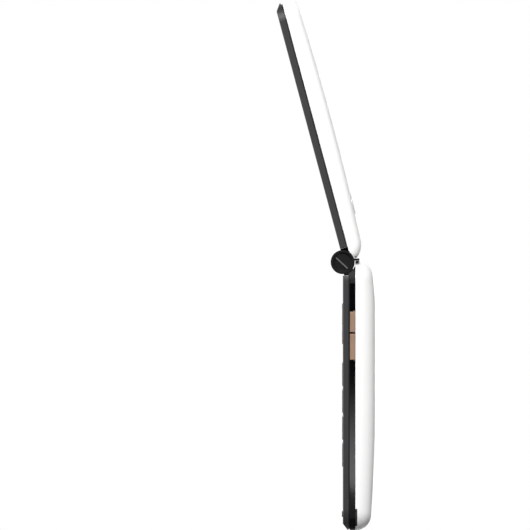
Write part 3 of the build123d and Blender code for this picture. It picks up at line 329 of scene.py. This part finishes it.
def painted_frame(name, level, slope):
    """Satin grey paint on a frame, down to a level; below it, in the groove, black painted shade.
    """
    material = finish(
        name, FRAME_GREY, FRAME_SATIN, PAINT_GRAIN, 0.005 * MM, 0.08, Specular_IOR_Level=0.3
    )
    tree = material.node_tree
    surface = next(n for n in tree.nodes if n.type == "BSDF_PRINCIPLED")
    paint = surface.inputs["Base Color"].links[0].from_socket
    place = add_node(tree, "ShaderNodeTexCoord")
    height = add_node(
        tree, "ShaderNodeVectorMath",
        {"operation": "DOT_PRODUCT", 1: (0.0, -math.sin(slope), math.cos(slope))},
        {0: place.outputs["Object"]},
    )
    # Painted shade: the frame below the level, in the groove, is painted black.
    in_groove_shade = add_node(
        tree, "ShaderNodeMath", {"operation": "LESS_THAN", 1: level},
        {0: height.outputs["Value"]},
    )
    groove_shade = add_node(
        tree, "ShaderNodeMix", {"data_type": "RGBA", 7: linear(GROOVE_SHADE_BLACK)},
        {0: in_groove_shade.outputs[0], 6: paint},
    )
    tree.links.new(groove_shade.outputs[2], surface.inputs["Base Color"])
    return material


LID_TILT = math.radians(15)
EDGE_SLACK = 0.04 * MM
BASE_FRAME_DEPTH = 2.05 * MM
LID_FRAME_DEPTH = 2.2 * MM
LID_FACE_DROP = 0.35 * MM
KEYPAD_DROP = 0.05 * MM
keypad_face = hinge.z - KEYPAD_DROP
dress(
    painted_frame("satin_grey_paint", keypad_face - BASE_FRAME_DEPTH - EDGE_SLACK, 0.0),
    "front_frame",
)
hinge_height = hinge.z * math.cos(LID_TILT) - hinge.y * math.sin(LID_TILT)
dress(
    painted_frame(
        "satin_grey_paint_on_lid",
        hinge_height - LID_FACE_DROP - LID_FRAME_DEPTH - EDGE_SLACK, LID_TILT,
    ),
    "lid_frame",
)


# Chassis. It is black polycarbonate, and its edge band, polished in the mould, shows between
# the grey frame and the white cover. The knuckle webs, the groove and the lip in the cover are
# left satin. The lip in the cover is painted a lighter grey than the black: painted light.
black_gloss = finish(
    "polished_black_polycarbonate", "#08080a", 0.03, 2.4 * MM, 0.0006 * MM, 0.1, IOR=1.58
)
SATIN_BLACK = "#101011"
LIP_LIT_GREY = "#454546"
SATIN_SPAN = 7.7 * MM
PARTING_LEVEL = 7.15 * MM
BAND_TOP = 9.15 * MM
LIP_ROUGHNESS = 0.5
tree = black_gloss.node_tree
gloss = next(n for n in tree.nodes if n.type == "BSDF_PRINCIPLED")
place = add_node(tree, "ShaderNodeTexCoord")
split = add_node(tree, "ShaderNodeSeparateXYZ", links={0: place.outputs["Object"]})
by_hinge = add_node(
    tree, "ShaderNodeMath", {"operation": "GREATER_THAN", 1: hinge.y - SATIN_SPAN},
    {0: split.outputs["Y"]},
)
in_cover = add_node(
    tree, "ShaderNodeMath",
    {"operation": "LESS_THAN", 1: PARTING_LEVEL - EDGE_SLACK},
    {0: split.outputs["Z"]},
)
in_groove = add_node(
    tree, "ShaderNodeMath", {"operation": "GREATER_THAN", 1: BAND_TOP + EDGE_SLACK},
    {0: split.outputs["Z"]},
)
moulded = add_node(
    tree, "ShaderNodeMath", {"operation": "MAXIMUM"},
    {0: by_hinge.outputs[0], 1: in_groove.outputs[0]},
)
unpolished = add_node(
    tree, "ShaderNodeMath", {"operation": "MAXIMUM"},
    {0: moulded.outputs[0], 1: in_cover.outputs[0]},
)
# Painted light: the satin black turns a lighter grey on the lip inside the cover.
satin_with_lit_lip = add_node(
    tree, "ShaderNodeMix",
    {"data_type": "RGBA", 6: linear(SATIN_BLACK), 7: linear(LIP_LIT_GREY)},
    {0: in_cover.outputs[0]},
)
satin = add_node(
    tree, "ShaderNodeBsdfPrincipled", {"Roughness": LIP_ROUGHNESS, "Specular IOR Level": 0.15},
    {"Base Color": satin_with_lit_lip.outputs[2]},
)
surface = add_node(
    tree, "ShaderNodeMixShader",
    links={0: unpolished.outputs[0], 1: gloss.outputs[0], 2: satin.outputs[0]},
)
output = next(n for n in tree.nodes if n.type == "OUTPUT_MATERIAL")
tree.links.new(surface.outputs[0], output.inputs["Surface"])
dress(black_gloss, "chassis")


# Small black mouldings: hinge caps, the spine behind the barrel, the lid's arm, and the
# housings inside. They are spark-eroded black nylon, dull with a fine even grain.
NYLON_BLACK = "#070708"
EROSION_GRAIN = 0.12 * MM
black_nylon = finish(
    "eroded_black_nylon", NYLON_BLACK, 0.5, EROSION_GRAIN, 0.006 * MM, 0.1, Specular_IOR_Level=0.12
)
dress(black_nylon, "hinge_spine", "lid_hinge_arm", "sim_socket", "loudspeaker", "earpiece",
      "camera_module", "antenna")

# The end caps are the same nylon. The bar along the step in each recess is painted bright grey: a
# painted highlight, for the light that the step catches.
CAP_BAR_ANGLE = math.radians(137)
CAP_BAR_NEAR = 0.2 * MM
CAP_BAR_FAR = 0.75 * MM
CAP_BAR_DEPTH = 0.5 * MM
CAP_RECESS_RADIUS = 2.9 * MM
CAP_BAR_HIGHLIGHT_GREY = "#5c5c5c"


def cap_nylon(name, cap, sign):
    """Black nylon of an end cap, with a painted highlight: the bar in its recess is painted grey.
    """
    material = finish(
        name, NYLON_BLACK, 0.5, EROSION_GRAIN, 0.006 * MM, 0.1, Specular_IOR_Level=0.12
    )
    tree = material.node_tree
    surface = next(n for n in tree.nodes if n.type == "BSDF_PRINCIPLED")
    nylon = surface.inputs["Base Color"].links[0].from_socket
    place = add_node(tree, "ShaderNodeTexCoord")
    centred = add_node(
        tree, "ShaderNodeVectorMath", {"operation": "SUBTRACT", 1: (0.0, hinge.y, hinge.z)},
        {0: place.outputs["Object"]},
    )
    square_to_bar = (0.0, math.cos(CAP_BAR_ANGLE), sign * math.sin(CAP_BAR_ANGLE))
    across = add_node(
        tree, "ShaderNodeVectorMath", {"operation": "DOT_PRODUCT", 1: square_to_bar},
        {0: centred.outputs["Vector"]},
    )
    middle = (CAP_BAR_NEAR + CAP_BAR_FAR) / 2
    on_bar = add_node(
        tree, "ShaderNodeMath", {"operation": "COMPARE", 1: middle, 2: middle - CAP_BAR_NEAR},
        {0: across.outputs["Value"]},
    )
    flat = add_node(
        tree, "ShaderNodeVectorMath", {"operation": "MULTIPLY", 1: (0.0, 1.0, 1.0)},
        {0: centred.outputs["Vector"]},
    )
    radius = add_node(
        tree, "ShaderNodeVectorMath", {"operation": "LENGTH"}, {0: flat.outputs["Vector"]}
    )
    inside = add_node(
        tree, "ShaderNodeMath", {"operation": "LESS_THAN", 1: CAP_RECESS_RADIUS},
        {0: radius.outputs["Value"]},
    )
    split = add_node(tree, "ShaderNodeSeparateXYZ", links={0: place.outputs["Object"]})
    outward = add_node(tree, "ShaderNodeMath", {"operation": "ABSOLUTE"}, {0: split.outputs["X"]})
    outer_face = abs(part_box(cap)[1 if sign > 0 else 0].x)
    raised = add_node(
        tree, "ShaderNodeMath", {"operation": "GREATER_THAN", 1: outer_face - CAP_BAR_DEPTH},
        {0: outward.outputs[0]},
    )
    both = add_node(
        tree, "ShaderNodeMath", {"operation": "MULTIPLY"},
        {0: on_bar.outputs[0], 1: inside.outputs[0]},
    )
    # Painted highlight: the bar on the step inside the recess gets a lighter grey.
    painted_highlight = add_node(
        tree, "ShaderNodeMath", {"operation": "MULTIPLY"},
        {0: both.outputs[0], 1: raised.outputs[0]},
    )
    bar = add_node(
        tree, "ShaderNodeMix", {"data_type": "RGBA", 7: linear(CAP_BAR_HIGHLIGHT_GREY)},
        {0: painted_highlight.outputs[0], 6: nylon},
    )
    tree.links.new(bar.outputs[2], surface.inputs["Base Color"])
    return material


dress(cap_nylon("cap_nylon_left", "hinge_cap_left", -1), "hinge_cap_left")
dress(cap_nylon("cap_nylon_right", "hinge_cap_right", 1), "hinge_cap_right")


# Buffers, key mat and screw plugs. They are moulded in black silicone rubber, which is matt
# and a little dusty.
black_rubber = finish("black_silicone_rubber", "#131313", 0.75, 0.25 * MM, 0.01 * MM, 0.2)
dress(black_rubber, "base_bumpers", "key_mat", "screw_plugs")


# Keys. Each cap is polished black acrylic, and its mark is printed in white on top.
KEY_BLACK = "#1c1c1f"
key_acrylic = finish(
    "polished_key_acrylic", KEY_BLACK, 0.16, 0.9 * MM, 0.0012 * MM, 0.05, IOR=1.49
)
KEYS = ["key_%d" % n for n in range(10)] + [
    "key_star", "key_hash", "soft_key_left", "soft_key_right", "call_key", "end_key", "nav_ring",
    "ok_key"]
dress(key_acrylic, *KEYS)


# Marks on the keys: one pass of white pad print, with a green and a red handset mark. The
# ink stands a hair above the cap.
INK_LIFT = 0.005 * MM
INK_THICKNESS = 0.03 * MM
DIGIT_HEIGHT = 4.6 * MM
white_ink = finish("white_pad_print", "#e6e6e2", 0.45, 0.3 * MM, 0.002 * MM, 0.04)
green_ink = finish("green_pad_print", "#3ea55c", 0.45, 0.3 * MM, 0.002 * MM, 0.04)
red_ink = finish("red_pad_print", "#c43a33", 0.45, 0.3 * MM, 0.002 * MM, 0.04)


def key_centre(key):
    """Middle of a key's top face."""
    low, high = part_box(key)
    return Vector(((low.x + high.x) / 2, (low.y + high.y) / 2, high.z))


def printed_sign(key, sign):
    """Printed digit or sign in the middle of a key."""
    outline = bpy.data.curves.new(key + "_mark", "FONT")
    outline.body = sign
    outline.size = DIGIT_HEIGHT
    outline.align_x = "CENTER"
    outline.align_y = "CENTER"
    outline.extrude = INK_THICKNESS / 2
    outline.materials.append(white_ink)
    mark = bpy.data.objects.new(key + "_mark", outline)
    bpy.context.scene.collection.objects.link(mark)
    mark.location = key_centre(key) + Vector((0, 0, INK_LIFT + INK_THICKNESS / 2))
    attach(mark, key + "_body")


def printed_shape(name, key, outline, ink, shift=(0.0, 0.0)):
    """Printed shape on a key, from its outline in millimetres."""
    centre = key_centre(key) + Vector((shift[0], shift[1], INK_LIFT))
    count = len(outline)
    lower = [centre + Vector((x * MM, y * MM, 0)) for x, y in outline]
    upper = [point + Vector((0, 0, INK_THICKNESS)) for point in lower]
    faces = [list(range(count, 2 * count)), list(range(count - 1, -1, -1))]
    faces += [(i, (i + 1) % count, count + (i + 1) % count, count + i) for i in range(count)]
    mark = mesh_piece(name, lower + upper, faces, ink)
    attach(mark, key + "_body")


for digit in range(10):
    printed_sign("key_%d" % digit, str(digit))
printed_sign("key_star", "*")
printed_sign("key_hash", "#")

HANDSET_RADIUS = 2.6
HANDSET_BACK = 0.25
HANDSET_WAIST = 0.5
HANDSET_BULGE = 0.55
HANDSET_HALF_ANGLE = 52
HANDSET_STEPS = 24
handset_outer = []
handset_inner = []
for i in range(HANDSET_STEPS + 1):
    along = 2 * i / HANDSET_STEPS - 1
    thickness = HANDSET_WAIST + HANDSET_BULGE * along ** 6
    angle = math.radians(90 + HANDSET_HALF_ANGLE * along)
    for line, radius in (
        (handset_outer, HANDSET_RADIUS + HANDSET_BACK),
        (handset_inner, HANDSET_RADIUS - thickness),
    ):
        line.append((radius * math.cos(angle), radius * math.sin(angle) - HANDSET_RADIUS * 0.75))
handset = handset_inner + handset_outer[::-1]
printed_shape("call_mark", "call_key", [(-x, y) for x, y in handset[::-1]], green_ink)
printed_shape("end_mark", "end_key", handset, red_ink)
soft_bar = [(-1.6, -0.22), (1.6, -0.22), (1.6, 0.22), (-1.6, 0.22)]
printed_shape("soft_left_mark", "soft_key_left", soft_bar, white_ink)
printed_shape("soft_right_mark", "soft_key_right", soft_bar, white_ink)
ring_low, ring_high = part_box("nav_ring")
ok_low, ok_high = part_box("ok_key")
for name, x_sign, y_sign in (("up", 0, 1), ("down", 0, -1), ("left", -1, 0), ("right", 1, 0)):
    shift = (
        x_sign * (ring_high.x - ring_low.x + ok_high.x - ok_low.x) / 4,
        y_sign * (ring_high.y - ring_low.y + ok_high.y - ok_low.y) / 4,
    )
    arrow = [(0.55, 0.0), (-0.3, 0.55), (-0.3, -0.55)]
    turned = [(x * x_sign - y * y_sign, x * y_sign + y * x_sign) for x, y in arrow]
    printed_shape("arrow_" + name, "nav_ring", turned, white_ink, shift)


# Side keys: two plastic caps in satin copper paint, in a recess of the edge band.
copper_paint = finish(
    "satin_copper_paint", "#91735e", 0.40, 0.10 * MM, 0.004 * MM, 0.12, Metallic=0.3
)
dress(copper_paint, "side_key_upper", "side_key_lower")


# Windows of the two displays: clear cast acrylic, hard coated. A black print under the rim of
# each leaves the view area open.
PRINT_THICKNESS = 0.02 * MM
PRINT_GAP = 0.01 * MM
DISPLAY_SIDE_RIM = 2.6 * MM
DISPLAY_END_RIM = 7.0 * MM
OUTER_RIM = 2.4 * MM


def lid_point(x, s, n):
    """Point of the lid, from its distance up the lid and its height square to the lid."""
    return Vector((
        x, hinge.y + s * math.cos(LID_TILT) - n * math.sin(LID_TILT),
        hinge.z + s * math.sin(LID_TILT) + n * math.cos(LID_TILT),
    ))


def lid_extent(node_name):
    """Lowest and highest x, s and n of a CAD piece, in the lid's own directions."""
    places = []
    for vertex in frame["nodes"][node_name].data.vertices:
        y, z = vertex.co.y - hinge.y, vertex.co.z - hinge.z
        places.append((
            vertex.co.x, y * math.cos(LID_TILT) + z * math.sin(LID_TILT),
            z * math.cos(LID_TILT) - y * math.sin(LID_TILT),
        ))
    return [min(column) for column in zip(*places)], [max(column) for column in zip(*places)]


def rim_print(name, window, side_rim, end_rim, sign):
    """Black print under the rim of a window. The sign says which face is the outside."""
    low, high = lid_extent(window)
    level = (low[2] if sign > 0 else high[2]) - sign * PRINT_GAP
    outer = [(low[0], low[1]), (high[0], low[1]), (high[0], high[1]), (low[0], high[1])]
    inner = [
        (low[0] + side_rim, low[1] + end_rim), (high[0] - side_rim, low[1] + end_rim),
        (high[0] - side_rim, high[1] - end_rim), (low[0] + side_rim, high[1] - end_rim),
    ]
    points = [
        lid_point(x, s, level - sign * depth)
        for depth in (0.0, PRINT_THICKNESS) for x, s in outer + inner
    ]
    faces = []
    for i in range(4):
        j = (i + 1) % 4
        faces += [
            (i, j, 4 + j, 4 + i), (8 + i, 12 + i, 12 + j, 8 + j),
            (i, 8 + i, 8 + j, j), (4 + i, 4 + j, 12 + j, 12 + i),
        ]
    border = mesh_piece(name, points, faces, black_print)
    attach(border, "lid")


clear_acrylic = finish(
    "hard_coated_acrylic", "#e4e7ea", 0.02, 4.0 * MM, 0.0002 * MM, 0.0, IOR=1.49,
    Transmission_Weight=1.0,
)
black_print = finish("black_screen_print", "#040404", 0.5, 0.2 * MM, 0.001 * MM, 0.0)
dress(clear_acrylic, "display_lens", "outer_lens")
rim_print("display_border", "display_lens", DISPLAY_SIDE_RIM, DISPLAY_END_RIM, 1)
rim_print("outer_border", "outer_lens", OUTER_RIM, OUTER_RIM, -1)
camera_glass = finish("coated_camera_glass", "#0a0812", 0.02, 3.0 * MM, 0.0002 * MM, 0.0, IOR=1.6)
dress(camera_glass, "camera_lens")


# Displays, unlit: glass with a dark blue-grey layer of liquid crystal behind it.
unlit_display = finish(
    "unlit_liquid_crystal_glass", "#0c0e13", 0.3, 0.2 * MM, 0.0006 * MM, 0.05, IOR=1.52
)
dress(unlit_display, "display_panel", "outer_display")


# Parts seen only when the phone is opened up. Screws, pins and stamped cans are bright rolled
# steel; then come the turned ring of the camera, the two boards with their green resist, the
# film over the key domes, the battery in its shrunk film, and gold-plated spring contacts.
bright_steel = finish("rolled_steel", "#b9b9b6", 0.28, 0.3 * MM, 0.002 * MM, 0.12, Metallic=1.0)
dress(bright_steel, "base_screws", "lid_screws", "hinge_pin", "hinge_cam", "hinge_cartridge",
      "shield_can", "usb_socket", "vibration_motor", "earpiece_mesh", "microphone",
      "side_switches")
turned_ring = finish("turned_aluminium", "#c8c9cb", 0.22, 0.2 * MM, 0.002 * MM, 0.05, Metallic=1.0)
dress(turned_ring, "camera_ring")
solder_resist = finish("green_solder_resist", "#1c5a30", 0.30, 0.5 * MM, 0.01 * MM, 0.15)
dress(solder_resist, "circuit_board", "lid_board")
dome_film = finish("clear_dome_film", "#cfcfca", 0.25, 0.8 * MM, 0.004 * MM, 0.05)
dress(dome_film, "dome_sheet")
battery_film = finish("shrunk_battery_film", "#2a2b2f", 0.35, 1.2 * MM, 0.01 * MM, 0.08)
dress(battery_film, "battery")
gold_plate = finish(
    "gold_plated_spring_brass", "#d8a94a", 0.2, 0.2 * MM, 0.001 * MM, 0.05, Metallic=1.0
)
dress(gold_plate, "battery_contacts")
